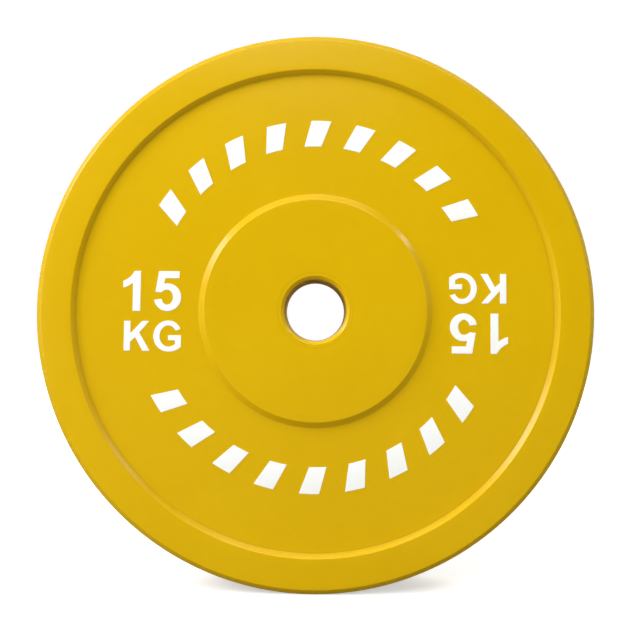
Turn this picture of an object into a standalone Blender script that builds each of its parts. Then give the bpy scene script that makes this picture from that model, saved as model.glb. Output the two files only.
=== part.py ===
"""Olympic weight plate: a solid rubber disc moulded round a steel sleeve, with white marks set in.

Metres, +Z up. The plate stands upright. Its bore runs along Y, the front face looks along -Y
and the origin is the middle of the bore. The marks on each face are outlines drawn as seen from
the front, as (across, up), and turned into place on the four half faces. In the mould they sit a
little off the bore's height: the weight marks lower, the arcs of bars higher.
"""

import math

import bmesh
import bpy
import numpy as np
from mathutils import Matrix, Vector

# Rubber disc
PLATE_DIAMETER = 0.450
PLATE_THICKNESS = 0.064
EDGE_ROUND = 0.0045
RIM_FACE_WIDTH = 0.0241
RIM_SLOPE_RUN = 0.003
WEB_RECESS = 0.004
HUB_FACE_DIAMETER = 0.179
HUB_SLOPE_RUN = 0.005
MOUTH_CHAMFER_WIDTH = 0.0023
MOUTH_CHAMFER_DEPTH = 0.0025

# Steel sleeve that runs on the bar, and the rubber lip that covers each end of it
BORE_DIAMETER = 0.0504
SLEEVE_WALL = 0.0048
SLEEVE_RECESS = 0.013
SLEEVE_CHAMFER = 0.0006
LIP_STAND_OFF = 0.0002

# Steel flange round the sleeve, which the rubber grips through its holes
FLANGE_REACH = 0.030
FLANGE_THICKNESS = 0.004
FLANGE_HOLE_DIAMETER = 0.014
FLANGE_HOLES = 8

# White rubber marks: their thickness, how far they stand out of the web, and their layout. A stretch
# widens a glyph against its height, and a rise lifts marks against the bore's height.
INLAY_THICKNESS = 0.0012
INLAY_PROUD = 0.0002
NUMERAL_HEIGHT = 0.0324
NUMERAL_STRETCH = 0.977
NUMERAL_GAP = 0.0109
UNIT_HEIGHT = 0.024
UNIT_STRETCH = 0.99
UNIT_GAP = 0.0028
UNIT_SHIFT = 0.0009
LINE_GAP = 0.0081
WEIGHT_MARK_INSET = 0.0119
WEIGHT_MARK_RISE = -0.0017
BAR_HEIGHT = 0.0213
BAR_WIDTH = 0.015
BAR_LEAN = math.radians(18)
BAR_BAND_INSET = 0.0037
BAR_RISE = 0.0041
BARS_PER_ARC = 9
BAR_ARC = math.radians(121.5)

# Gap that moulded faces keep to each other, and how far a cutter starts clear of the surface
MOULD_GAP = 0.0003
CUTTER_LEAD = 0.002

# Finishes: base colour, roughness and metallic value
YELLOW_RUBBER = ((0.73, 0.445, 0.004), 0.5, 0.0)
WHITE_RUBBER = ((0.9, 0.9, 0.88), 0.5, 0.0)
STEEL = ((0.42, 0.4, 0.38), 0.35, 1.0)

# Fineness of the round shapes
DISC_SEGMENTS = 96
STEEL_SEGMENTS = 64
FLANGE_SEGMENTS = 48
HOLE_SEGMENTS = 16
EDGE_STEPS = 4
ARC_STEP = math.radians(15)
CURVE_STEPS = 4
BAR_EDGE_STEPS = 2
SHARP_ANGLE = math.radians(30)

# Places worked out from the sizes
PLATE_RADIUS = PLATE_DIAMETER / 2
RIM_FACE_OUTER = PLATE_RADIUS - EDGE_ROUND
RIM_FACE_INNER = RIM_FACE_OUTER - RIM_FACE_WIDTH
WEB_OUTER = RIM_FACE_INNER - RIM_SLOPE_RUN
HUB_FACE_RADIUS = HUB_FACE_DIAMETER / 2
WEB_INNER = HUB_FACE_RADIUS + HUB_SLOPE_RUN
WEB_MIDDLE = (WEB_INNER + WEB_OUTER) / 2
FACE_Y = PLATE_THICKNESS / 2
WEB_Y = FACE_Y - WEB_RECESS
BORE_RADIUS = BORE_DIAMETER / 2
THROAT_RADIUS = BORE_RADIUS + LIP_STAND_OFF
MOUTH_RADIUS = THROAT_RADIUS + MOUTH_CHAMFER_WIDTH
SLEEVE_RADIUS = BORE_RADIUS + SLEEVE_WALL
SLEEVE_END = FACE_Y - SLEEVE_RECESS
SEAT_RADIUS = SLEEVE_RADIUS + MOULD_GAP
SEAT_END = SLEEVE_END + MOULD_GAP
FLANGE_INNER = SLEEVE_RADIUS + MOULD_GAP
FLANGE_OUTER = SLEEVE_RADIUS + FLANGE_REACH
FLANGE_HOLE_CIRCLE = (FLANGE_INNER + FLANGE_OUTER) / 2
BAR_BAND = WEB_MIDDLE - BAR_BAND_INSET
POCKET_FLOOR = WEB_Y + INLAY_PROUD - INLAY_THICKNESS - MOULD_GAP

QUARTER_TURN = math.pi / 2
FULL_TURN = 2 * math.pi

# How one set of marks, drawn for the front's left and top, is turned onto the four half faces
UNTURNED = Matrix.Identity(4)
UPSIDE_DOWN = Matrix.Rotation(math.pi, 4, "Y")
BEHIND = Matrix.Rotation(math.pi, 4, "Z")
HALF_FACE_TURNS = (UNTURNED, UPSIDE_DOWN, BEHIND, BEHIND @ UPSIDE_DOWN)
WEIGHT_MARK_PLACES = ("front_left", "front_right", "rear_left", "rear_right")
BAR_PLACES = ("front_upper", "front_lower", "rear_upper", "rear_lower")


def clear_scene():
    """Removes whatever the file opened with."""
    for old in list(bpy.data.objects):
        bpy.data.objects.remove(old)


def make_material(name, color, roughness, metallic):
    """A plain Principled material."""
    material = bpy.data.materials.new(name)
    material.use_nodes = True
    shader = material.node_tree.nodes["Principled BSDF"]
    shader.inputs["Base Color"].default_value = (*color, 1.0)
    shader.inputs["Roughness"].default_value = roughness
    shader.inputs["Metallic"].default_value = metallic
    return material


def object_from(name, points, faces, material):
    """An object from points and faces, with its normals made consistent and its round faces smooth."""
    shell = bmesh.new()
    corners = [shell.verts.new(point) for point in points]
    for face in faces:
        shell.faces.new([corners[index] for index in face])
    bmesh.ops.recalc_face_normals(shell, faces=shell.faces)
    mesh = bpy.data.meshes.new(name)
    shell.to_mesh(mesh)
    shell.free()
    mesh.materials.append(material)
    mesh.shade_smooth()
    mesh.set_sharp_from_angle(angle=SHARP_ANGLE)
    made = bpy.data.objects.new(name, mesh)
    bpy.context.scene.collection.objects.link(made)
    return made


def hide_helper(helper):
    """Keeps a cutter out of the renders and shows it as wire."""
    helper.hide_render = True
    helper.display_type = "WIRE"
    return helper


def cut(target, cutter):
    """Cuts one object from another with a live modifier."""
    step = target.modifiers.new(cutter.name, "BOOLEAN")
    step.operation = "DIFFERENCE"
    step.solver = "EXACT"
    step.object = cutter


def turned(profile, segments):
    """Points and faces of a closed profile of (radius, y) turned once about the Y axis.

    The first column of points lies half a step off the X axis, so that a flat of the tread faces down.
    """
    angles = (np.arange(segments) + 0.5) * FULL_TURN / segments
    radius, along = np.array(profile).T
    x = np.outer(np.cos(angles), radius)
    z = np.outer(np.sin(angles), radius)
    y = np.broadcast_to(along, x.shape)
    points = np.stack([x, y, z], axis=2).reshape(-1, 3)
    count = len(profile)
    faces = []
    for turn in range(segments):
        here = turn * count
        there = (turn + 1) % segments * count
        for step in range(count):
            after = (step + 1) % count
            faces.append((here + step, here + after, there + after, there + step))
    return points, faces


def disc_profile():
    """Half of the disc's section, front to rear: lip, hub, web, rim, round edge, tread and back again."""
    front = [
        (SEAT_RADIUS, SEAT_END),
        (THROAT_RADIUS, SEAT_END),
        (THROAT_RADIUS, FACE_Y - MOUTH_CHAMFER_DEPTH),
        (MOUTH_RADIUS, FACE_Y),
        (HUB_FACE_RADIUS, FACE_Y),
        (WEB_INNER, WEB_Y),
        (WEB_OUTER, WEB_Y),
        (RIM_FACE_INNER, FACE_Y),
    ]
    for step in range(EDGE_STEPS + 1):
        turn = QUARTER_TURN * step / EDGE_STEPS
        radius = RIM_FACE_OUTER + EDGE_ROUND * math.sin(turn)
        front.append((radius, FACE_Y - EDGE_ROUND * (1 - math.cos(turn))))
    rear = [(radius, -along) for radius, along in reversed(front)]
    return front + rear


def sleeve_profile():
    """Section of the sleeve, with a chamfer on all four corners."""
    end = SLEEVE_END - SLEEVE_CHAMFER
    inner = BORE_RADIUS + SLEEVE_CHAMFER
    outer = SLEEVE_RADIUS - SLEEVE_CHAMFER
    return [
        (BORE_RADIUS, end),
        (inner, SLEEVE_END),
        (outer, SLEEVE_END),
        (SLEEVE_RADIUS, end),
        (SLEEVE_RADIUS, -end),
        (outer, -SLEEVE_END),
        (inner, -SLEEVE_END),
        (BORE_RADIUS, -end),
    ]


def ring_with_holes(name, material, growth, inner):
    """The flange's shape made larger all round by growth: a flat ring with a circle of holes."""
    half = FLANGE_THICKNESS / 2 + growth
    outer = FLANGE_OUTER + growth
    profile = [(inner, half), (outer, half), (outer, -half), (inner, -half)]
    ring = object_from(name, *turned(profile, FLANGE_SEGMENTS), material)
    points = []
    faces = []
    for hole in range(FLANGE_HOLES):
        turn = FULL_TURN * hole / FLANGE_HOLES
        centre = (FLANGE_HOLE_CIRCLE * math.cos(turn), FLANGE_HOLE_CIRCLE * math.sin(turn))
        outline = circle(centre, FLANGE_HOLE_DIAMETER / 2 - growth, HOLE_SEGMENTS)
        add_prism(points, faces, outline, -half - CUTTER_LEAD, half + CUTTER_LEAD)
    cut(ring, hide_helper(object_from(name + "_holes", points, faces, material)))
    return ring


def circle(centre, radius, segments):
    """A circle's corners, anticlockwise."""
    turns = np.arange(segments) * FULL_TURN / segments
    return np.stack([centre[0] + radius * np.cos(turns), centre[1] + radius * np.sin(turns)], axis=1)


def add_prism(points, faces, outline, low, high, place=UNTURNED):
    """Adds an outline of (across, up), carried from low to high along Y and then turned into place."""
    first = len(points)
    count = len(outline)
    for along in (low, high):
        ring = [Vector((across, along, up)) for across, up in outline]
        points.extend(place @ corner for corner in ring)
    faces.append(tuple(range(first, first + count)))
    faces.append(tuple(range(first + 2 * count - 1, first + count - 1, -1)))
    for step in range(count):
        after = (step + 1) % count
        faces.append((first + step, first + count + step, first + count + after, first + after))


def arc(centre, radii, start, end):
    """Points on an ellipse from one angle to another, in degrees, end points included."""
    first, last = math.radians(start), math.radians(end)
    steps = max(1, round(abs(last - first) / ARC_STEP))
    turns = np.linspace(first, last, steps + 1)
    across = centre[0] + radii[0] * np.cos(turns)
    up = centre[1] + radii[1] * np.sin(turns)
    return list(zip(across, up))


def curve(start, control, end):
    """Points on a parabola from start to end that leaves and arrives along the lines to control."""
    share = np.linspace(0, 1, CURVE_STEPS + 1)[1:-1, None]
    start, control, end = np.array(start), np.array(control), np.array(end)
    path = (1 - share) ** 2 * start + 2 * share * (1 - share) * control + share**2 * end
    return [tuple(start), *map(tuple, path), tuple(end)]


# Glyph outlines, anticlockwise, in shares of the capital height.
def numeral_one():
    """A stem with a curved flag."""
    stem_left, stem_right, crest = 0.246, 0.443, 0.287
    flag_top, flag_foot, flag_root = 0.748, 0.577, 0.702
    return [
        (stem_left, 0.0),
        (stem_right, 0.0),
        (stem_right, 1.0),
        *curve((crest, 1.0), (0.20, 0.83), (0.0, flag_top)),
        *curve((0.0, flag_foot), (0.14, 0.615), (stem_left, flag_root)),
    ]


def numeral_five():
    """A bar and a leaning neck on a round bowl."""
    bowl, bowl_inner = 0.347, (0.146, 0.186)
    centre, inner_centre = (bowl, bowl), (0.338, bowl)
    bar_left, bar_right, bar_foot = 0.123, 0.645, 0.822
    notch = (0.189, 0.465)
    return [
        (bar_left, 1.0),
        (0.035, 0.484),
        *curve(notch, (0.25, bowl + bowl_inner[1]), (inner_centre[0], bowl + bowl_inner[1])),
        *arc(inner_centre, bowl_inner, 80, -167),
        *arc(centre, (bowl, bowl), -169, 106),
        (0.284, bar_foot),
        (bar_right, bar_foot),
        (bar_right, 1.0),
    ]


def letter_k():
    """A stem, an arm and a leg."""
    stem = 0.214
    return [
        (0.0, 0.0),
        (stem, 0.0),
        (stem, 0.296),
        (0.378, 0.459),
        (0.633, 0.0),
        (0.882, 0.0),
        (0.514, 0.612),
        (0.855, 1.0),
        (0.616, 1.0),
        (stem, 0.571),
        (stem, 1.0),
        (0.0, 1.0),
    ]


def letter_g():
    """A round stroke, open on the right, with a bar and a hook."""
    centre = (0.51, 0.50)
    outer, outer_right = (0.51, 0.525), (0.46, 0.525)
    inner, inner_right = (0.30, 0.355), (0.275, 0.355)
    right, bar_left, hook = 0.939, 0.504, 0.739
    bar_top, bar_foot = 0.531, 0.357
    outer_foot = centre[1] - outer[1]
    inner_foot = centre[1] - inner[1]
    return [
        *arc(centre, outer_right, 27, 75),
        *arc(centre, outer, 90, 255),
        *curve((centre[0], outer_foot), (0.76, outer_foot), (right, 0.137)),
        (right, bar_top),
        (bar_left, bar_top),
        (bar_left, bar_foot),
        (hook, bar_foot),
        *curve((hook, 0.231), (0.63, inner_foot), (centre[0], inner_foot)),
        *arc(centre, inner, -105, -270),
        *arc(centre, inner_right, 75, 31),
    ]


def line_of(glyphs, height, stretch, gap, across, foot):
    """Glyphs of one height and stretch side by side with a gap, centred at across, standing on foot."""
    outlines = [np.array(glyph) * (height * stretch, height) for glyph in glyphs]
    widths = [outline[:, 0].max() for outline in outlines]
    left = across - (sum(widths) + gap * (len(widths) - 1)) / 2
    placed = []
    for outline, width in zip(outlines, widths):
        placed.append(outline + (left, foot))
        left += width + gap
    return placed


def slanted_bar(turn):
    """One leaning bar on the band, turn being its angle anticlockwise from the +X side."""
    half_width = BAR_WIDTH / 2 / BAR_BAND
    lean = BAR_HEIGHT / 2 * math.tan(BAR_LEAN) / BAR_BAND
    side = np.linspace(-half_width, half_width, BAR_EDGE_STEPS + 1)
    foot_turns = turn + side + lean
    head_turns = (turn + side - lean)[::-1]
    turns = np.concatenate([foot_turns, head_turns])
    foot = np.full(len(side), BAR_BAND - BAR_HEIGHT / 2)
    radii = np.concatenate([foot, foot + BAR_HEIGHT])
    return np.stack([radii * np.cos(turns), radii * np.sin(turns)], axis=1)[::-1]


def weight_mark_outlines():
    """The weight mark left of the hub: the number over its unit, centred on the bore's height."""
    across = WEIGHT_MARK_INSET - WEB_MIDDLE
    foot = -(NUMERAL_HEIGHT + LINE_GAP + UNIT_HEIGHT) / 2
    number_foot = foot + UNIT_HEIGHT + LINE_GAP
    numerals, letters = (numeral_one(), numeral_five()), (letter_k(), letter_g())
    one, five = line_of(numerals, NUMERAL_HEIGHT, NUMERAL_STRETCH, NUMERAL_GAP, across, number_foot)
    k, g = line_of(letters, UNIT_HEIGHT, UNIT_STRETCH, UNIT_GAP, across + UNIT_SHIFT, foot)
    return {"numeral_one": one, "numeral_five": five, "letter_k": k, "letter_g": g}


def bar_outlines():
    """The arc of leaning bars over the hub, whose two ends reach as far as BAR_ARC."""
    bar_span = (BAR_WIDTH + BAR_HEIGHT * math.tan(BAR_LEAN)) / BAR_BAND
    pitch = (BAR_ARC - bar_span) / (BARS_PER_ARC - 1)
    middle = (BARS_PER_ARC - 1) / 2
    turns = [QUARTER_TURN + (middle - number) * pitch for number in range(BARS_PER_ARC)]
    return {f"bar_{number + 1}": slanted_bar(turn) for number, turn in enumerate(turns)}


def grown(outline, distance):
    """The outline moved outwards by a distance, its corners mitred."""
    before = np.roll(outline, 1, axis=0)
    after = np.roll(outline, -1, axis=0)
    sides = []
    for run in (outline - before, after - outline):
        run = run / np.linalg.norm(run, axis=1, keepdims=True)
        sides.append(np.stack([run[:, 1], -run[:, 0]], axis=1))
    facing = (sides[0] * sides[1]).sum(axis=1, keepdims=True)
    return outline + distance * (sides[0] + sides[1]) / (1 + facing)


def half_faces(rise):
    """How marks drawn for the front's left and top come onto the four half faces, then a rise up."""
    return [Matrix.Translation((0, 0, rise)) @ turn for turn in HALF_FACE_TURNS]


def make_inlays(outlines, places, rise, material):
    """Each outline as a white piece on each half face, the four copies sharing one mesh."""
    outer = -WEB_Y - INLAY_PROUD
    for name, outline in outlines.items():
        points, faces = [], []
        add_prism(points, faces, outline, outer, outer + INLAY_THICKNESS)
        copies = [object_from(f"{name}_{places[0]}", points, faces, material)]
        for place in places[1:]:
            copies.append(bpy.data.objects.new(f"{name}_{place}", copies[0].data))
            bpy.context.scene.collection.objects.link(copies[-1])
        for copy, half_face in zip(copies, half_faces(rise)):
            copy.matrix_world = half_face


def pocket_cutter(marks_and_rises, material):
    """One helper that holds the pocket of every mark on both faces."""
    points, faces = [], []
    for outlines, rise in marks_and_rises:
        for half_face in half_faces(rise):
            for outline in outlines.values():
                pocket = grown(outline, MOULD_GAP)
                add_prism(points, faces, pocket, -FACE_Y - CUTTER_LEAD, -POCKET_FLOOR, half_face)
    return hide_helper(object_from("mark_pockets", points, faces, material))


def make_plate():
    """The whole plate."""
    clear_scene()
    yellow = make_material("yellow_rubber", *YELLOW_RUBBER)
    white = make_material("white_rubber", *WHITE_RUBBER)
    steel = make_material("bore_steel", *STEEL)
    weight_marks = weight_mark_outlines()
    bars = bar_outlines()
    disc = object_from("rubber_disc", *turned(disc_profile(), DISC_SEGMENTS), yellow)
    cut(disc, hide_helper(ring_with_holes("flange_seat", yellow, MOULD_GAP, SLEEVE_RADIUS)))
    marks_and_rises = [(weight_marks, WEIGHT_MARK_RISE), (bars, BAR_RISE)]
    cut(disc, pocket_cutter(marks_and_rises, yellow))
    object_from("bore_sleeve", *turned(sleeve_profile(), STEEL_SEGMENTS), steel)
    ring_with_holes("anchor_flange", steel, 0.0, FLANGE_INNER)
    make_inlays(weight_marks, WEIGHT_MARK_PLACES, WEIGHT_MARK_RISE, white)
    make_inlays(bars, BAR_PLACES, BAR_RISE, white)


make_plate()
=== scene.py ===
# %% [markdown]
# # A rubber weight plate, dressed cell by cell
#
# The plate is a disc of coloured rubber, moulded round a steel sleeve that runs on the bar. The
# packed model gives its places and sizes in metres. It stands upright: the bore runs along Y, the
# front looks along -Y, Z is up and the origin is the middle of the bore. The cells below put fine
# surfaces, finishes, lamps and a camera round that model. Each step says what the part is on the
# real plate, how it could be made, and why it is made this way here.

# %% Load the packed model
import math

import bpy
import numpy as np
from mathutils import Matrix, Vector


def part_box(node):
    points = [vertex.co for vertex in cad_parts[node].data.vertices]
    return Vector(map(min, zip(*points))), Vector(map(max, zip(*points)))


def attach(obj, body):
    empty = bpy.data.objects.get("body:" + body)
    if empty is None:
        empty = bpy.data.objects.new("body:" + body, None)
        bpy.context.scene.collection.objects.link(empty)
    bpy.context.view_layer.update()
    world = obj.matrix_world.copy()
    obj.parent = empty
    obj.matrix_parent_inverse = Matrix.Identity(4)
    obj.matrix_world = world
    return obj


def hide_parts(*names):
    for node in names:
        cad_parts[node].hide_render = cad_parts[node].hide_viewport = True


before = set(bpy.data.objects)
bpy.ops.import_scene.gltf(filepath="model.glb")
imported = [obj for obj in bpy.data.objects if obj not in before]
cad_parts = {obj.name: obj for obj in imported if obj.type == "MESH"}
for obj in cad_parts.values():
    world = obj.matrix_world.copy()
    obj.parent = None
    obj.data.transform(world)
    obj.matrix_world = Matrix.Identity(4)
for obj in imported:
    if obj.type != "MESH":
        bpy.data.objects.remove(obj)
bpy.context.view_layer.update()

# %% [markdown]
# ## The camera
#
# The camera comes first, because every later choice is judged through it. The rings of the plate
# aren't quite concentric in the photograph, and the far edge of the bore sits a little lower than
# the near one. A camera could be turned by hand until they agree. Here the rings were measured and
# a camera was fitted to them: close in front, a little below the bore's middle, looking slightly
# up and rolled by half a degree. The picture's optical middle lies above its centre, which is a
# small vertical shift.

# %% Place the camera
PICTURE_WIDTH = 630
FOCAL_LENGTH_IN_PIXELS = 657.7
OPTICAL_MIDDLE_IN_PIXELS = (315.5, 299.2)
SENSOR = 36.0
FACE_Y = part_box("rubber_disc")[1].y
CAMERA_DISTANCE = 0.527
CAMERA_PLACE = (0.0014, -FACE_Y - CAMERA_DISTANCE, -0.0154)
CAMERA_TILT = math.radians(92.62)
CAMERA_PAN = math.radians(0.12)
CAMERA_ROLL = math.radians(-0.52)

camera_data = bpy.data.cameras.new("photo_camera")
camera_data.sensor_width = SENSOR
camera_data.lens = FOCAL_LENGTH_IN_PIXELS / PICTURE_WIDTH * SENSOR
middle_across, middle_down = OPTICAL_MIDDLE_IN_PIXELS
camera_data.shift_x = 0.5 - middle_across / PICTURE_WIDTH
camera_data.shift_y = middle_down / PICTURE_WIDTH - 0.5
camera = bpy.data.objects.new("photo_camera", camera_data)
camera.location = CAMERA_PLACE
camera.rotation_euler = (CAMERA_TILT, CAMERA_ROLL, CAMERA_PAN)
bpy.context.scene.collection.objects.link(camera)
bpy.context.scene.camera = camera
print("lens", round(camera_data.lens, 2), "mm, shift", camera_data.shift_x, camera_data.shift_y)

# %% [markdown]
# ## Corners that a mould leaves
#
# Rubber doesn't fill a mould to a sharp corner, so every edge of the plate is a small round. A
# Bevel modifier could make them, but it would round every edge alike. The plate is the same all
# the way round, so it is enough to round its section, a flat outline, with a radius for each
# corner. The same function later rounds the corners of the white marks.

# %% Round the corners of an outline
CLOSE = 1e-7
MOST_OF_SIDE = 0.45


def unit(rows):
    """Each row divided by its own length."""
    return rows / np.maximum(np.linalg.norm(rows, axis=1, keepdims=True), CLOSE)


def rounded(corners, radius, steps, least_turn=0.0):
    """A closed outline with its corners replaced by arcs.

    An arc of radius R in a corner that turns by an angle T starts R x tan(T / 2) before the corner,
    but never farther than a share of the shorter side. Its centre lies square to the side that it
    leaves, R away, and its points are that radius turned from 0 to T.
    """
    before = corners - np.roll(corners, 1, axis=0)
    after = np.roll(corners, -1, axis=0) - corners
    shorter = np.minimum(np.linalg.norm(before, axis=1), np.linalg.norm(after, axis=1))
    before, after = unit(before), unit(after)
    turn = np.arctan2(
        before[:, 0] * after[:, 1] - before[:, 1] * after[:, 0], (before * after).sum(axis=1)
    )
    half_tangent = np.tan(np.abs(turn) / 2)
    reach = np.minimum(radius * half_tangent, MOST_OF_SIDE * shorter) * (np.abs(turn) > least_turn)
    arc_radius = reach / np.maximum(half_tangent, CLOSE) * np.sign(turn)
    start = corners - before * reach[:, None]
    square = np.stack([-before[:, 1], before[:, 0]], axis=1) * arc_radius[:, None]
    angle = turn[:, None] * np.linspace(0, 1, steps)
    cosine, sine = np.cos(angle)[..., None], np.sin(angle)[..., None]
    swung = cosine * square[:, None] + sine * np.stack([-square[:, 1], square[:, 0]], 1)[:, None]
    points = ((start + square)[:, None] - swung).reshape(-1, 2)
    gap = np.linalg.norm(points - np.roll(points, 1, axis=0), axis=1)
    return points[gap > CLOSE]


def stepped(outline, longest):
    """The same closed outline with its long sides divided, so that no step is over the longest."""
    side = np.roll(outline, -1, axis=0) - outline
    parts = np.ceil(np.linalg.norm(side, axis=1) / longest - CLOSE).astype(int)
    first = np.repeat(outline, parts, axis=0)
    place = np.arange(parts.sum()) - np.repeat(np.cumsum(parts) - parts, parts)
    return first + np.repeat(side, parts, axis=0) * (place / np.repeat(parts, parts))[:, None]


square = np.array([(0, 0), (1, 0), (1, 1), (0, 1)])
print("a square with round corners has", len(rounded(square, 0.1, 5)), "points")

# %% [markdown]
# ## A mesh from a grid
#
# Every new surface here is a grid of points, worked out whole with numpy: rows one way, columns the
# other. Blender wants points and faces. The faces of a grid follow from its numbering alone, so
# one function serves every shape. It also measures the volume that the faces enclose. A negative
# volume means that they face inwards, and then every face is turned over.

# %% Make a mesh from a grid
SMOOTH_BELOW = math.radians(40)


def grid_faces(rows, columns):
    """Four-sided faces of a grid closed both ways: each cell joins a point to its two followers."""
    row, column = np.meshgrid(np.arange(rows), np.arange(columns), indexing="ij")
    next_row, next_column = (row + 1) % rows, (column + 1) % columns
    cell = [
        row * columns + column,
        row * columns + next_column,
        next_row * columns + next_column,
        next_row * columns + column,
    ]
    return np.stack(cell, axis=-1).reshape(-1, 4)


def volume(points, faces):
    """Volume inside four-sided faces: the sum of a . (b x c) / 6 over their two triangles."""
    a, b, c, d = (points[faces[:, side]] for side in range(4))
    return ((a * np.cross(b, c)).sum() + (a * np.cross(c, d)).sum()) / 6


def new_piece(name, points, faces, replaced):
    """An object of the plate, made from points and faces, that stands for a node of the model."""
    mesh = bpy.data.meshes.new(name)
    mesh.from_pydata(points.tolist(), [], faces)
    mesh.shade_smooth()
    mesh.set_sharp_from_angle(angle=SMOOTH_BELOW)
    piece = bpy.data.objects.new(name, mesh)
    bpy.context.scene.collection.objects.link(piece)
    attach(piece, "root")
    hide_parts(replaced)
    return piece


def revolved(profile, segments):
    """A closed section of (radius, y) turned about Y: x is radius x cosine, z is radius x sine."""
    angle = np.arange(segments)[:, None] * (2 * np.pi / segments)
    radius, along = profile.T
    x, z = radius * np.cos(angle), radius * np.sin(angle)
    return np.stack([x, np.broadcast_to(along, x.shape), z], axis=-1)


def ring_piece(name, grid, replaced):
    """A piece from a grid that closes both ways, with its faces looking outwards."""
    points = grid.reshape(-1, 3)
    faces = grid_faces(*grid.shape[:2])
    inside = volume(points, faces)
    if inside < 0:
        faces = faces[:, ::-1]
    print(name, len(faces), "faces,", round(abs(inside) * 1e6, 1), "millilitres")
    return new_piece(name, points, faces.tolist(), replaced)


# %% [markdown]
# ## The rubber disc
#
# The disc's section is a raised rim, a web that lies 4 mm lower, and a hub as high as the rim. It
# could be a cylinder cut by Booleans. A turned section is better: it has no seams, and each round
# can be what the width of its highlight in the photograph says. The outer edge is a narrow bevel
# between two rounds, as the crisp borders of its shading show. Half of the section is written
# down, from the bore out to the tread. The other half mirrors it.

# %% Write down the disc's section
MM = 0.001
PLATE_RADIUS = 225 * MM
EDGE_TOP = 220.5 * MM
EDGE_DROP = 3.6 * MM
RIM_TOP = 196.4 * MM
RIM_FOOT = 193.5 * MM
HUB_TOP = 89.5 * MM
HUB_FOOT = 94.4 * MM
WEB_Y = 28 * MM
MOUTH = 27.7 * MM
THROAT = 25.4 * MM
MOUTH_DEPTH = 2.2 * MM
SEAT = 30.3 * MM
SEAT_END = 19.3 * MM
BEAD_FOOT = 30.4 * MM
BEAD_END = 32 * MM
MOULD_LINE_END = 1.5 * MM

# radius, distance from the middle plane, and the round of the corner there
half_section = np.array([
    (SEAT, SEAT_END, 0.0),
    (THROAT, SEAT_END, 0.2 * MM),
    (THROAT, FACE_Y - MOUTH_DEPTH, 0.3 * MM),
    (MOUTH, FACE_Y, 0.9 * MM),
    (BEAD_END, FACE_Y, 0.0),
    (HUB_TOP, FACE_Y, 1.5 * MM),
    (HUB_FOOT, WEB_Y, MM),
    (RIM_FOOT, WEB_Y, 0.8 * MM),
    (RIM_TOP, FACE_Y, 1.2 * MM),
    (EDGE_TOP, FACE_Y, 1.2 * MM),
    (PLATE_RADIUS, FACE_Y - EDGE_DROP, MM),
    (PLATE_RADIUS, MOULD_LINE_END, 0.0),
])
section = np.vstack([half_section, half_section[::-1] * (1, -1, 1)])
ROUND_STEPS = 6
rounded_section = rounded(section[:, :2], section[:, 2], ROUND_STEPS)

start_radius, start_y = rounded_section.T
by_the_bead = (start_radius < BEAD_END - CLOSE) & (np.abs(start_y) > WEB_Y)
by_the_mould_line = (start_radius > PLATE_RADIUS - MM) & (np.abs(start_y) < MOULD_LINE_END + CLOSE)
FINE_STEP = 0.4 * MM
COARSE_STEP = 7 * MM
step_limit = np.where(by_the_bead | by_the_mould_line, FINE_STEP, COARSE_STEP)
disc_section = stepped(rounded_section, step_limit)
print("the section has", len(disc_section), "points")

# %% [markdown]
# ## What makes it a moulded disc and not a drawn one
#
# Three small things. Round the mouth of the bore the rubber stands up in a low bead, where the
# mould's pin pressed it: the photograph shows it as one faint ring. The tread has a fine raised
# line where the two halves of the mould met. And no moulded face is truly flat: it shrinks a few
# hundredths of a millimetre as it cools. All three could be bump in a material, but then they
# would be missing from the mesh, so they move the points of the grid.

# %% Turn the section, then add the bead, the mould line and the shrinkage
DISC_SEGMENTS = 440
BEAD_RADII = np.array([27.8, 28.5, 29.3, 29.9, 30.3, 31.0, 31.8]) * MM
BEAD_HEIGHTS = np.array([-0.2, -0.16, -0.01, 0.11, 0.12, 0.04, 0.0]) * MM
MOULD_LINE_HEIGHT = 0.18 * MM
MOULD_LINE_WIDTH = 0.5 * MM
SHRINKAGE = 0.03 * MM
# radians per metre and start of a wave along X, then of one along Z
SLOW_WAVES = (31, 0.7, 27, 1.9)
QUICK_WAVES = (67, 2.2, 59, 0.4)


def with_bead(profile):
    """The section with the bead added to both faces: its height is looked up from the radius."""
    radius, along = profile.T
    bead = np.interp(radius, BEAD_RADII, BEAD_HEIGHTS, left=0.0, right=0.0)
    return np.stack([radius, along + np.sign(along) * bead * (np.abs(along) > WEB_Y)], axis=1)


def with_mould_line(profile):
    """The section with a bell curve on the tread: height x exp(-(y / width) squared)."""
    radius, along = profile.T
    line = MOULD_LINE_HEIGHT * np.exp(-((along / MOULD_LINE_WIDTH) ** 2))
    return np.stack([radius + line * (radius > PLATE_RADIUS - MM), along], axis=1)


def waves(x, z, across, across_start, up, up_start):
    """A sine along X times a sine along Z: sin(across x X + start) x sin(up x Z + start)."""
    return np.sin(across * x + across_start) * np.sin(up * z + up_start)


def shrunk(grid):
    """The grid with its faces sunk by shrinkage x (1 + 0.6 x slow waves + 0.4 x quick waves)."""
    x, y, z = np.moveaxis(grid, -1, 0)
    swell = 1.0 + 0.6 * waves(x, z, *SLOW_WAVES) + 0.4 * waves(x, z, *QUICK_WAVES)
    depth = SHRINKAGE * swell * (np.abs(y) > WEB_Y - MM)
    return np.stack([x, y - np.sign(y) * depth, z], axis=-1)


moulded_section = with_mould_line(with_bead(disc_section))
disc = ring_piece(
    "moulded_disc", shrunk(revolved(moulded_section, DISC_SEGMENTS)), "rubber_disc"
)

# %% [markdown]
# ## The steel sleeve
#
# A steel tube lines the bore, set 13 mm back from each face so that only its wall shows. It is a
# turned part, so it is made as the disc is: a section with small rounds, turned about Y.

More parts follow.
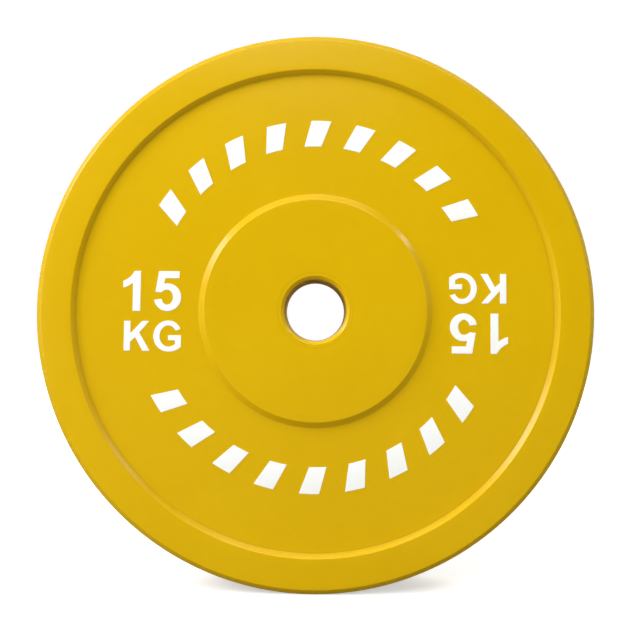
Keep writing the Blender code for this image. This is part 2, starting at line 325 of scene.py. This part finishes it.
# %% Turn the sleeve
SLEEVE_INNER = 25.2 * MM
SLEEVE_OUTER = 30 * MM
SLEEVE_END = 19 * MM
SLEEVE_ROUND = 0.6 * MM
SLEEVE_SEGMENTS = 256

half_sleeve = np.array([(SLEEVE_OUTER, SLEEVE_END), (SLEEVE_INNER, SLEEVE_END)])
sleeve_corners = np.vstack([half_sleeve, half_sleeve[::-1] * (1, -1)])
sleeve_section = stepped(rounded(sleeve_corners, SLEEVE_ROUND, ROUND_STEPS), COARSE_STEP)
sleeve = ring_piece(
    "turned_sleeve", revolved(sleeve_section, SLEEVE_SEGMENTS), "bore_sleeve"
)

# %% [markdown]
# ## Outlines of the weight mark
#
# The plate says how heavy it is: a number over its unit, in white rubber set into the web. A text
# object could give the letters, but its fonts differ from computer to computer. These outlines
# are worked out from arcs and parabolas, in shares of the height of a capital, anticlockwise.

# %% Draw the numerals and the letters
ARC_STEP = 5.0
CURVE_POINTS = 9


def arc(centre, radii, start, end):
    """Part of an ellipse, angles in degrees: (centre + radius x cosine, centre + radius x sine)."""
    steps = int(abs(end - start) / ARC_STEP) + 2
    turn = np.radians(np.linspace(start, end, steps))
    return np.stack([centre[0] + radii[0] * np.cos(turn), centre[1] + radii[1] * np.sin(turn)], axis=1)


def curve(start, control, end):
    """A parabola: (1 - s) squared x start + 2 s (1 - s) x control + s squared x end, s from 0 to 1."""
    share = np.linspace(0, 1, CURVE_POINTS)[:, None]
    start, control, end = np.array([start, control, end])
    return (1 - share) ** 2 * start + 2 * share * (1 - share) * control + share**2 * end


def numeral_one():
    """A stem with a curved flag."""
    return np.vstack([
        [(0.246, 0.0), (0.443, 0.0), (0.443, 1.0)],
        curve((0.287, 1.0), (0.20, 0.83), (0.0, 0.748)),
        curve((0.0, 0.577), (0.14, 0.615), (0.246, 0.702)),
    ])


def numeral_five():
    """A bar and a leaning neck on a round bowl."""
    bowl, bowl_inner, inner_centre = (0.347, 0.347), (0.146, 0.186), (0.338, 0.347)
    return np.vstack([
        [(0.123, 1.0), (0.035, 0.484)],
        curve((0.189, 0.465), (0.25, 0.533), (0.338, 0.533)),
        arc(inner_centre, bowl_inner, 80, -167),
        arc(bowl, bowl, -169, 106),
        [(0.284, 0.822), (0.645, 0.822), (0.645, 1.0)],
    ])


def letter_k():
    """A stem, an arm and a leg."""
    stem = [(0.0, 0.0), (0.214, 0.0), (0.214, 0.296)]
    leg_and_arm = [(0.378, 0.459), (0.633, 0.0), (0.882, 0.0), (0.514, 0.612), (0.855, 1.0)]
    return np.array([*stem, *leg_and_arm, (0.616, 1.0), (0.214, 0.571), (0.214, 1.0), (0.0, 1.0)])


def letter_g():
    """A round stroke, open on the right, with a bar and a hook."""
    centre, hook = (0.51, 0.5), 0.739
    return np.vstack([
        arc(centre, (0.46, 0.525), 27, 75),
        arc(centre, (0.51, 0.525), 90, 255),
        curve((0.51, -0.025), (0.76, -0.025), (0.939, 0.137)),
        [(0.939, 0.531), (0.504, 0.531), (0.504, 0.357), (hook, 0.357)],
        curve((hook, 0.231), (0.63, 0.145), (0.51, 0.145)),
        arc(centre, (0.30, 0.355), -105, -270),
        arc(centre, (0.275, 0.355), 75, 31),
    ])


glyphs = {
    "numeral_one": numeral_one(),
    "numeral_five": numeral_five(),
    "letter_k": letter_k(),
    "letter_g": letter_g(),
}
print({name: len(outline) for name, outline in glyphs.items()})

# %% [markdown]
# ## Outlines of the bars
#
# Two arcs of white marks run over and under the hub. They are plain leaning bars, nine on each
# arc. A bar's head and foot follow circles round the bore, so it is a small grid in angle and
# radius that is walked round its edge. The lean is a shift of the angle from foot to head.

# %% Draw the bars
BAR_BAND = 140.25 * MM
BAR_HEIGHT = 21.3 * MM
BAR_WIDTH = 15 * MM
BAR_LEAN = math.radians(18)
BAR_ARC = math.radians(121.5)
BARS = 9
BAR_EDGE_POINTS = 7


def leaning_bar(turn):
    """A bar at an angle: its foot and head are arcs, shifted by half of height x tan(lean) / radius."""
    lean = BAR_HEIGHT / 2 * math.tan(BAR_LEAN) / BAR_BAND
    side = np.linspace(-0.5, 0.5, BAR_EDGE_POINTS) * BAR_WIDTH / BAR_BAND
    turns = np.concatenate([turn + side + lean, (turn + side - lean)[::-1]])
    radii = BAR_BAND + np.repeat([-0.5, 0.5], BAR_EDGE_POINTS) * BAR_HEIGHT
    return np.stack([radii * np.cos(turns), radii * np.sin(turns)], axis=1)[::-1]


bar_span = (BAR_WIDTH + BAR_HEIGHT * math.tan(BAR_LEAN)) / BAR_BAND
bar_turns = math.pi / 2 + np.linspace(0.5, -0.5, BARS) * (BAR_ARC - bar_span)
bars = {f"bar_{number + 1}": leaning_bar(turn) for number, turn in enumerate(bar_turns)}
print(len(bars), "bars,", round(math.degrees(bar_turns[0] - bar_turns[1]), 2), "degrees apart")

# %% [markdown]
# ## From outline to inlay
#
# Each mark is a slip of white rubber, laid in the mould before the yellow. It comes out almost
# flush, a quarter of a millimetre proud, with a soft edge. An extrusion with a Bevel would do, but
# the bevel breaks up at the tight corners of the 5 and the G. Here each mark is a stack of copies
# of its outline: one in the rubber, one at the web, and some drawn in a little and raised. The
# faces between them are again a grid. The first and last outline are filled as one face each.
#
# The outline is first stretched to fill the box of its own node, so the drawing above needs no
# size. The other three copies of a mark are the same points turned onto their half face, and then
# shifted to the middle of their own nodes, since the marks don't lie quite evenly round the bore.

# %% Build the white marks
MARK_CORNER = 0.35 * MM
MARK_ROUND_STEPS = 5
SHARP_TURN = math.radians(25)
# how far each outline of the stack is drawn in, and its height over the web
STACK = MM * np.array([(0.0, -0.9), (0.0, 0.1), (0.04, 0.18), (0.12, 0.235), (0.24, 0.25)])
# signs of X, Y and Z that turn the marks of the front's left or top onto the four half faces
TURNS = np.array([(1, 1, 1), (-1, 1, -1), (-1, -1, 1), (1, -1, -1)])
SIDE_PLACES = ("front_left", "front_right", "rear_left", "rear_right")
ARC_PLACES = ("front_upper", "front_lower", "rear_upper", "rear_lower")


def in_box(outline, node):
    """The outline stretched to fill the box of a node, seen from the front."""
    low, high = (np.array((corner.x, corner.z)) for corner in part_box(node))
    least, most = outline.min(axis=0), outline.max(axis=0)
    return low + (outline - least) / (most - least) * (high - low)


def middle(node):
    """The middle of a node's box: half of its lowest plus its highest corner."""
    low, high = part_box(node)
    return np.array((low + high) / 2)


def drawn_in(outline, distance):
    """An anticlockwise outline moved inwards: each point slides along its corner's bisector."""
    side = unit(outline - np.roll(outline, 1, axis=0))
    inward = np.stack([-side[:, 1], side[:, 0]], axis=1)
    following = np.roll(inward, -1, axis=0)
    facing = (inward * following).sum(axis=1, keepdims=True)
    return outline + distance * (inward + following) / (1 + facing)


def mark_grid(outline):
    """A stack of outlines: each is drawn in by its own distance and set at its own height."""
    return np.stack([
        np.insert(drawn_in(outline, distance), 1, -WEB_Y - height, axis=1)
        for distance, height in STACK
    ])


def mark_faces(rings, around):
    """Faces between the outlines, wound to look outwards, and one face over each end."""
    sides = grid_faces(rings, around)[: (rings - 1) * around]
    foot, head = np.arange(around)[::-1], np.arange(around) + (rings - 1) * around
    return [*sides.tolist(), foot.tolist(), head.tolist()]


def white_marks(name, outline, places):
    """The four copies of one mark, each turned and then shifted to the middle of its own node."""
    nodes = [f"{name}_{place}" for place in places]
    softened = rounded(in_box(outline, nodes[0]), MARK_CORNER, MARK_ROUND_STEPS, SHARP_TURN)
    grid = mark_grid(softened)
    faces = mark_faces(*grid.shape[:2])
    pieces = []
    for node, turn in zip(nodes, TURNS):
        points = grid.reshape(-1, 3) * turn + middle(node) - middle(nodes[0]) * turn
        pieces.append(new_piece(f"white_{node}", points, faces, node))
    return pieces


marks = []
for name, outline in glyphs.items():
    marks += white_marks(name, outline, SIDE_PLACES)
for name, outline in bars.items():
    marks += white_marks(name, outline, ARC_PLACES)
print(len(marks), "white marks, the last with", len(marks[-1].data.polygons), "faces")

# %% [markdown]
# ## Shader maths in plain Python
#
# A material is a tree of nodes. Drawing one in code usually takes a line for each node and one for
# each link, and the idea is lost between them. The class below wraps a node's output socket, so
# that ordinary arithmetic on it adds Math nodes, and one method adds any other node.

# %% Wrap a socket
class Wire:
    """An output socket that can be reckoned with: each operator adds one Math node."""

    def __init__(self, socket):
        self.socket = socket

    def node(self, kind, settings, sockets, output=0):
        """Adds a node of a kind: first its settings, then the values or wires of its sockets."""
        tree = self.socket.id_data
        made = tree.nodes.new(kind)
        for name, setting in settings.items():
            setattr(made, name, setting)
        for name, value in sockets.items():
            if isinstance(value, Wire):
                tree.links.new(value.socket, made.inputs[name])
            else:
                made.inputs[name].default_value = value
        return Wire(made.outputs[output])

    def reckon(self, operation, *others):
        return self.node("ShaderNodeMath", {"operation": operation}, dict(enumerate((self, *others))))

    def __add__(self, other):
        return self.reckon("ADD", other)

    def __radd__(self, other):
        return self.reckon("ADD", other)

    def __sub__(self, other):
        return self.reckon("SUBTRACT", other)

    def __rsub__(self, other):
        return self.reckon("MULTIPLY_ADD", -1.0, other)

    def __mul__(self, other):
        return self.reckon("MULTIPLY", other)

    def __rmul__(self, other):
        return self.reckon("MULTIPLY", other)

    def __pow__(self, other):
        return self.reckon("POWER", other)

    def __abs__(self):
        return self.reckon("ABSOLUTE")

    def rise(self, low, high):
        """0 below low, 1 above high, and a smooth rise between them."""
        sockets = {"Value": self, "From Min": low, "From Max": high}
        return self.node("ShaderNodeMapRange", {"interpolation_type": "SMOOTHSTEP"}, sockets)

    def mix(self, first, second):
        """The first colour where this is 0 and the second where it is 1."""
        return self.node("ShaderNodeMix", {"data_type": "RGBA"}, {0: self, 6: first, 7: second}, 2)


def color(red, green, blue):
    """A colour as Blender's sockets take it, fully opaque."""
    return (red, green, blue, 1.0)


def grey(level):
    """A grey of a level from 0 to 1."""
    return color(level, level, level)


print("methods of a wire:", [name for name, value in vars(Wire).items() if callable(value)])

# %% [markdown]
# ## What every finish here is made of
#
# All the finishes start from Object coordinates, which are metres on the plate itself, so a grain
# of half a millimetre is half a millimetre everywhere. Soft noise of several sizes gives cloudy
# tones, mottling and grain. Only what varies over the surface is wired up: colour, roughness and
# the bump's normal. What is the same everywhere is a number on the shader.

# %% Start a material, make noise and wire up a finish
def new_material(name, **constants):
    """A material, the Object coordinates in it, and its shader with its constants set."""
    material = bpy.data.materials.new(name)
    material.use_nodes = True
    shader = material.node_tree.nodes["Principled BSDF"]
    for socket, value in constants.items():
        shader.inputs[socket].default_value = value
    place = Wire(material.node_tree.nodes.new("ShaderNodeTexCoord").outputs["Object"])
    return material, place, shader


def noise(place, size, detail=2.0):
    """Soft noise from 0 to 1, with blotches of about a size across in metres."""
    return place.node("ShaderNodeTexNoise", {}, {"Vector": place, "Scale": 1 / size, "Detail": detail})


def radius_and_y(place):
    """Distance from the bore's axis, the root of x squared + z squared, and distance along it."""
    x, y, z = (place.node("ShaderNodeSeparateXYZ", {}, {"Vector": place}, axis) for axis in "XYZ")
    return (x * x + z * z) ** 0.5, y


def finish(shader, tone, roughness, relief, height):
    """Wires up a colour, a roughness, and a bump whose full relief is a height in metres."""
    normal = relief.node("ShaderNodeBump", {}, {"Height": relief, "Distance": height})
    for socket, wire in (("Base Color", tone), ("Roughness", roughness), ("Normal", normal)):
        shader.id_data.links.new(wire.socket, shader.inputs[socket])


# %% [markdown]
# ## Yellow rubber
#
# The disc's rubber is dyed right through, with a satin skin from the mould. New, it looks even,
# but close up its tone drifts a little where the batch was folded, and it has a very fine grain.
# Four places differ, and each is found by its distance from the axis. The tread and the bevel of
# the outer edge are handled most, so their yellow is less deep and a touch duller. The corner at
# the foot of the rim's slope is darkened with painted shade, and a ring over the bead is a little
# darker. The wall inside the bore is dull, since nothing ever polished it. A coat or a sheen would
# make the rubber look lacquered or furry, so it is a plain Principled shader with a weak reflection.

# %% Make the yellow rubber
RUBBER_REFLECTION = 0.35
FOLD_SIZE = 110 * MM
MOTTLE_SIZE = 9 * MM
YELLOW_GRAIN = 0.7 * MM
YELLOW_RELIEF = 0.06 * MM
YELLOW_ROUGHNESS = 0.19
# Painted shade: how far the corner at the foot of the rim's slope is darkened, then how far a ring over
# the bead is darkened.
RIM_CORNER_SHADE, BEAD_RING_DARKENING = 0.16, 0.08
DEEP_YELLOW = color(0.709, 0.431, 0.0)
LIGHT_YELLOW = color(0.739, 0.457, 0.0003)
HANDLED_YELLOW = color(0.665, 0.425, 0.01)
# The dark yellow mixed into that corner and that ring. In the corner it is painted shade.
SHADE_AND_RING_YELLOW = color(0.2, 0.12, 0.003)


def near(radius, where, inner, outer):
    """1 within a distance inner of a radius, 0 beyond a distance outer, and a smooth fall between."""
    return 1 - abs(radius - where).rise(inner, outer)


yellow_rubber, place, shader = new_material(
    "dyed_yellow_rubber", **{"Specular IOR Level": RUBBER_REFLECTION}
)
radius, _ = radius_and_y(place)
folds = noise(place, FOLD_SIZE, detail=3.0)
mottle = noise(place, MOTTLE_SIZE, detail=3.0)
grain = noise(place, YELLOW_GRAIN, detail=1.0)
handled = radius.rise(EDGE_TOP - 0.5 * MM, EDGE_TOP + MM)
# Painted shade in the corner at the foot of the rim's slope. The next mask is a darker ring over the
# bead.
corner = near(radius, RIM_FOOT, 0.2 * MM, 1.8 * MM)
dark_bead_ring = near(radius, BEAD_FOOT, 0.2 * MM, 1.2 * MM)
in_bore = 1 - radius.rise(THROAT + 0.1 * MM, THROAT + 0.6 * MM)
drift = (folds * 0.7 + mottle * 0.3).rise(0.3, 0.7)
clean = drift.mix(DEEP_YELLOW, LIGHT_YELLOW)
worn = (handled * (0.5 + mottle * 0.5)).mix(clean, HANDLED_YELLOW)
# Painted shade: the tone is darkened in the corner at the rim's foot, and a little over the bead.
tone = (corner * RIM_CORNER_SHADE + dark_bead_ring * BEAD_RING_DARKENING).mix(worn, SHADE_AND_RING_YELLOW)
roughness = YELLOW_ROUGHNESS + mottle * 0.04 + folds * 0.02 + handled * 0.05 + in_bore * 0.4
finish(shader, tone, roughness, grain * 0.6 + mottle * 0.4, YELLOW_RELIEF)
disc.data.materials.append(yellow_rubber)
print(len(yellow_rubber.node_tree.nodes), "nodes in the yellow rubber")

# %% [markdown]
# ## White rubber
#
# The marks are the same rubber with a white filler, a little chalkier. Near their edges a trace of
# yellow has crept in from the disc. That trace is too fine to draw along every outline, so it is
# left to a faint mottling. A little emission makes the marks glow as if lit. This is painted light,
# which keeps them plain white where the lamps reach them less. A scene in the dark should set it
# to 0.

# %% Make the white rubber
CHALK_SIZE = 20 * MM
SPECK_SIZE = 2.5 * MM
WHITE_GRAIN = 0.6 * MM
WHITE_RELIEF = 0.05 * MM
WHITE_ROUGHNESS = 0.45
CREAMY_WHITE = color(0.935, 0.94, 0.91)
CLEAN_WHITE = color(0.955, 0.96, 0.935)
# Painted light: how strongly the white marks glow, though they are no lamp.
PAINTED_GLOW = 0.05

# The emission set here is painted light on the white marks.
white_rubber, place, shader = new_material("filled_white_rubber", **{
    "Specular IOR Level": RUBBER_REFLECTION,
    "Emission Color": color(1.0, 1.0, 0.97),
    "Emission Strength": PAINTED_GLOW,
})
chalk = noise(place, CHALK_SIZE, detail=3.0)
specks = noise(place, SPECK_SIZE)
grain = noise(place, WHITE_GRAIN, detail=1.0)
tone = (chalk * 0.6 + specks * 0.4).rise(0.3, 0.7).mix(CREAMY_WHITE, CLEAN_WHITE)
finish(shader, tone, WHITE_ROUGHNESS + specks * 0.1, grain * 0.7 + specks * 0.3, WHITE_RELIEF)
for mark in marks:
    mark.data.materials.append(white_rubber)
print(len(marks), "marks are white")

# %% [markdown]
# ## Steel
#
# The sleeve is turned on a lathe. The tool leaves fine grooves right round the wall, which smear
# reflections along the bore, and a film of oil turns it brown in places. The grooves depend only on
# the distance along the wall, plus the radius on the ends, so they are noise in one dimension.
#
# In the photograph the wall is yellow-brown and lit like rubber, not like bare metal: the mould has
# left a thin skin of rubber over it. So where the skin lies the shader is yellow and hardly
# metallic. The flange hidden in the rubber is plate, with coarser marks and little skin.

# %% Make the steel
FILM_SIZE = 18 * MM
GROOVE_RELIEF = 0.02 * MM
SKIN_YELLOW = color(0.5, 0.36, 0.03)


def steel(name, bright, oiled, groove, smooth, skin):
    """Steel with grooves of a width in metres, under a skin of rubber over a share of it.

    The grooves are 1-D noise along y + radius. The film is soft noise, and the skin is where the
    film is thickest: there the surface is less metallic and as yellow as the rubber.
    """
    material, place, shader = new_material(name)
    radius, along = radius_and_y(place)
    run = radius + along
    lines = {"W": run, "Scale": 1 / groove, "Detail": 3.0}
    grooves = run.node("ShaderNodeTexNoise", {"noise_dimensions": "1D"}, lines)
    film = noise(place, FILM_SIZE, detail=4.0)
    bare = (film.rise(0.35, 0.7) * 0.8 + grooves * 0.2).mix(bright, oiled)
    cover = film.rise(0.2, 0.5) * skin
    tone = cover.mix(bare, SKIN_YELLOW)
    shader.id_data.links.new((1 - cover).socket, shader.inputs["Metallic"])
    finish(shader, tone, smooth + grooves * 0.15 + film * 0.12, grooves, GROOVE_RELIEF)
    return material


sleeve_steel = steel(
    "turned_steel", bright=color(0.24, 0.195, 0.12), oiled=color(0.13, 0.1, 0.05),
    groove=0.9 * MM, smooth=0.55, skin=0.9,
)
flange_steel = steel(
    "plate_steel", bright=color(0.36, 0.34, 0.32), oiled=color(0.2, 0.16, 0.12),
    groove=4 * MM, smooth=0.5, skin=0.2,
)
sleeve.data.materials.append(sleeve_steel)
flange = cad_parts["anchor_flange"]
for slot in flange.material_slots:
    slot.material = flange_steel
print("steel on", sleeve.name, "and", flange.name)

# %% [markdown]
# ## A pale floor
#
# In a photo studio the plate stands on a pale sheet that is lit until it is plain white. Lighting
# it so would also light the plate too much. A Light Path node tells which kind of ray asks. Rays
# from the camera see paper that glows, half as much round the plate as far away, so that the
# shadow shows on it. Rays that light the rubber see plain grey. Rays from shiny surfaces see next
# to nothing: a white floor would lie over the deep yellow like milk.

# %% Make the floor
FLOOR_REACH = 6.0
FLOOR_Z = -PLATE_RADIUS
SPECKLE_SIZE = 0.3
FLOOR_GLOW = 0.5
GLOW_RISES, GLOW_FULL = 0.3, 1.8
FLOOR_REFLECTED = 0.01
LIT_GREY, MIRRORED_GREY = 0.35, 0.005


def seen(tree):
    """Two wires: 1 for rays of the camera or of glass, and 1 for rays of reflections."""
    rays = tree.nodes.new("ShaderNodeLightPath")
    wires = [Wire(rays.outputs[f"Is {kind} Ray"]) for kind in ("Camera", "Transmission", "Glossy")]
    return wires[0].reckon("MAXIMUM", wires[1]), wires[2]


corners = [(-1, -1), (1, -1), (1, 1), (-1, 1)]
floor_points = [(x * FLOOR_REACH, y * FLOOR_REACH, FLOOR_Z) for x, y in corners]
floor_mesh = bpy.data.meshes.new("studio_floor")
floor_mesh.from_pydata(floor_points, [], [(0, 1, 2, 3)])
floor = bpy.data.objects.new("studio_floor", floor_mesh)
bpy.context.scene.collection.objects.link(floor)

paper, place, shader = new_material("studio_paper", **{
    "Roughness": 0.9,
    "Specular IOR Level": 0.0,
    "Emission Color": grey(1.0),
})
tree = paper.node_tree
direct, reflected = seen(tree)
speckle = noise(place, SPECKLE_SIZE).mix(grey(0.66), grey(0.7))
x, y = (place.node("ShaderNodeSeparateXYZ", {}, {"Vector": place}, axis) for axis in "XY")
glow = ((x * x + y * y) ** 0.5).rise(GLOW_RISES, GLOW_FULL) * (1 - FLOOR_GLOW) + FLOOR_GLOW
shade = reflected.mix(grey(LIT_GREY), grey(MIRRORED_GREY))
matt = tree.nodes.new("ShaderNodeBsdfDiffuse")
share = direct + reflected * FLOOR_REFLECTED
shaders = {0: share, 1: Wire(matt.outputs[0]), 2: Wire(shader.outputs[0])}
both = share.node("ShaderNodeMixShader", {}, shaders)
tree.links.new(speckle.socket, shader.inputs["Base Color"])
tree.links.new(glow.socket, shader.inputs["Emission Strength"])
tree.links.new(shade.socket, matt.inputs["Color"])
tree.links.new(both.socket, tree.nodes["Material Output"].inputs["Surface"])
floor_mesh.materials.append(paper)
print("the floor lies at", round(FLOOR_Z, 3))

# %% [markdown]
# ## A white surround
#
# The world's background plays the same trick. The camera sees white. The rubber gets a low level
# of light from all sides, as from the walls of a studio, which keeps the shaded sides of the
# slopes from going black. Reflections see a dim room, and a dark one straight in front of the plate
# and straight behind it, because that is where the camera stands and nothing is lit.

# %% Make the surround
SURROUND_LEVEL = 0.15
REFLECTED_SHARE = 0.2
DARK_RISES, DARK_FULL = 0.3, 0.7

world = bpy.data.worlds.new("studio_surround")
world.use_nodes = True
bpy.context.scene.world = world
tree = world.node_tree
direct, reflected = seen(tree)
heading = Wire(tree.nodes.new("ShaderNodeTexCoord").outputs["Generated"])
forward = heading.node("ShaderNodeSeparateXYZ", {}, {"Vector": heading}, "Y")
dark = abs(forward).rise(DARK_RISES, DARK_FULL)
lighting = (1 - direct) * (1 - reflected) * SURROUND_LEVEL
level = direct + reflected * (1 - dark) * REFLECTED_SHARE + lighting
tree.links.new(level.socket, tree.nodes["Background"].inputs["Strength"])
tree.nodes["Background"].inputs["Color"].default_value = grey(1.0)
print("the surround lights the plate with a level of", SURROUND_LEVEL)

# %% [markdown]
# ## The lamps
#
# The slopes tell where the lamps were. The slope of the hub is bright at the upper left and dark
# at the lower right, and the slope of the rim, which looks inwards, is the other way round. So the
# light comes from soft lamps at the left and over the top and a weaker one at the right, with two
# strips farther to the side. The glint lamps stand nearly level with the plate. There they are
# mirrored in the slopes alone, as one small sharp glint on each. The lamp of the rim's sheen stands
# high in front, where only the top of the rim mirrors it. The last three light the rear and the
# tread for other views. The levels come from a fit: the plate was rendered with one lamp at a
# time, and their sum was matched to the photograph, ring by ring.
#
# A lamp's level is how bright it makes a surface that looks straight at it, as a share of the
# colour written in the material. For a square lamp that takes pi squared x level x distance
# squared in watts.

# %% Place the lamps
LAMPS = (
    # name, angle round the plate from +X, angle away from the front, distance, side, level
    ("top_softbox", 110, 50, 2.6, 1.4, 0.205),
    ("left_softbox", 148, 56, 2.6, 1.4, 0.3),
    ("right_softbox", 75, 61, 2.6, 1.4, 0.38),
    ("left_strip", 150, 72, 2.6, 0.9, 0.39),
    ("side_softbox", 22, 58, 2.6, 1.4, 0.115),
    ("left_fill", 180, 42, 2.6, 0.44, 0.075),
    ("top_strip", 115, 72, 2.6, 0.9, 0.05),
    ("rim_sheen", 90, 31, 2.6, 0.7, 0.022),
    ("low_fill", 180, 65, 1.6, 0.44, 0.06),
    ("side_glint", 146, 87, 1.6, 0.43, 0.11),
    ("top_glint", 93, 84, 1.6, 0.5, 0.02),
    ("right_glint", 40, 85, 1.6, 0.2, 0.05),
    ("rear_softbox", 60, 133, 2.5, 1.6, 0.45),
    ("rear_fill", 115, 150, 2.6, 1.4, 0.4),
    ("side_fill", 0, 130, 2.6, 1.4, 0.3),
)


def direction(around, away):
    """A unit vector from two angles in degrees, round the plate and away from the front.

    Its parts are sin(away) x cos(around), -cos(away) and sin(away) x sin(around).
    """
    around, away = math.radians(around), math.radians(away)
    sideways = math.sin(away)
    return Vector((sideways * math.cos(around), -math.cos(away), sideways * math.sin(around)))


for name, around, away, distance, side, brightness in LAMPS:
    lamp_data = bpy.data.lights.new(name, "AREA")
    lamp_data.shape = "SQUARE"
    lamp_data.size = side
    lamp_data.energy = math.pi**2 * brightness * distance**2
    lamp = bpy.data.objects.new(name, lamp_data)
    outwards = direction(around, away)
    lamp.location = outwards * distance
    lamp.rotation_euler = outwards.to_track_quat("Z", "Y").to_euler()
    lamp.visible_camera = False
    bpy.context.scene.collection.objects.link(lamp)
    print(name, [round(value, 2) for value in lamp.location], round(lamp_data.energy, 1), "W")

# %% [markdown]
# ## Last things
#
# The colours are meant to come out as they are written, so the view transform is Standard.

# %% Set the view transform
bpy.context.scene.view_settings.view_transform = "Standard"
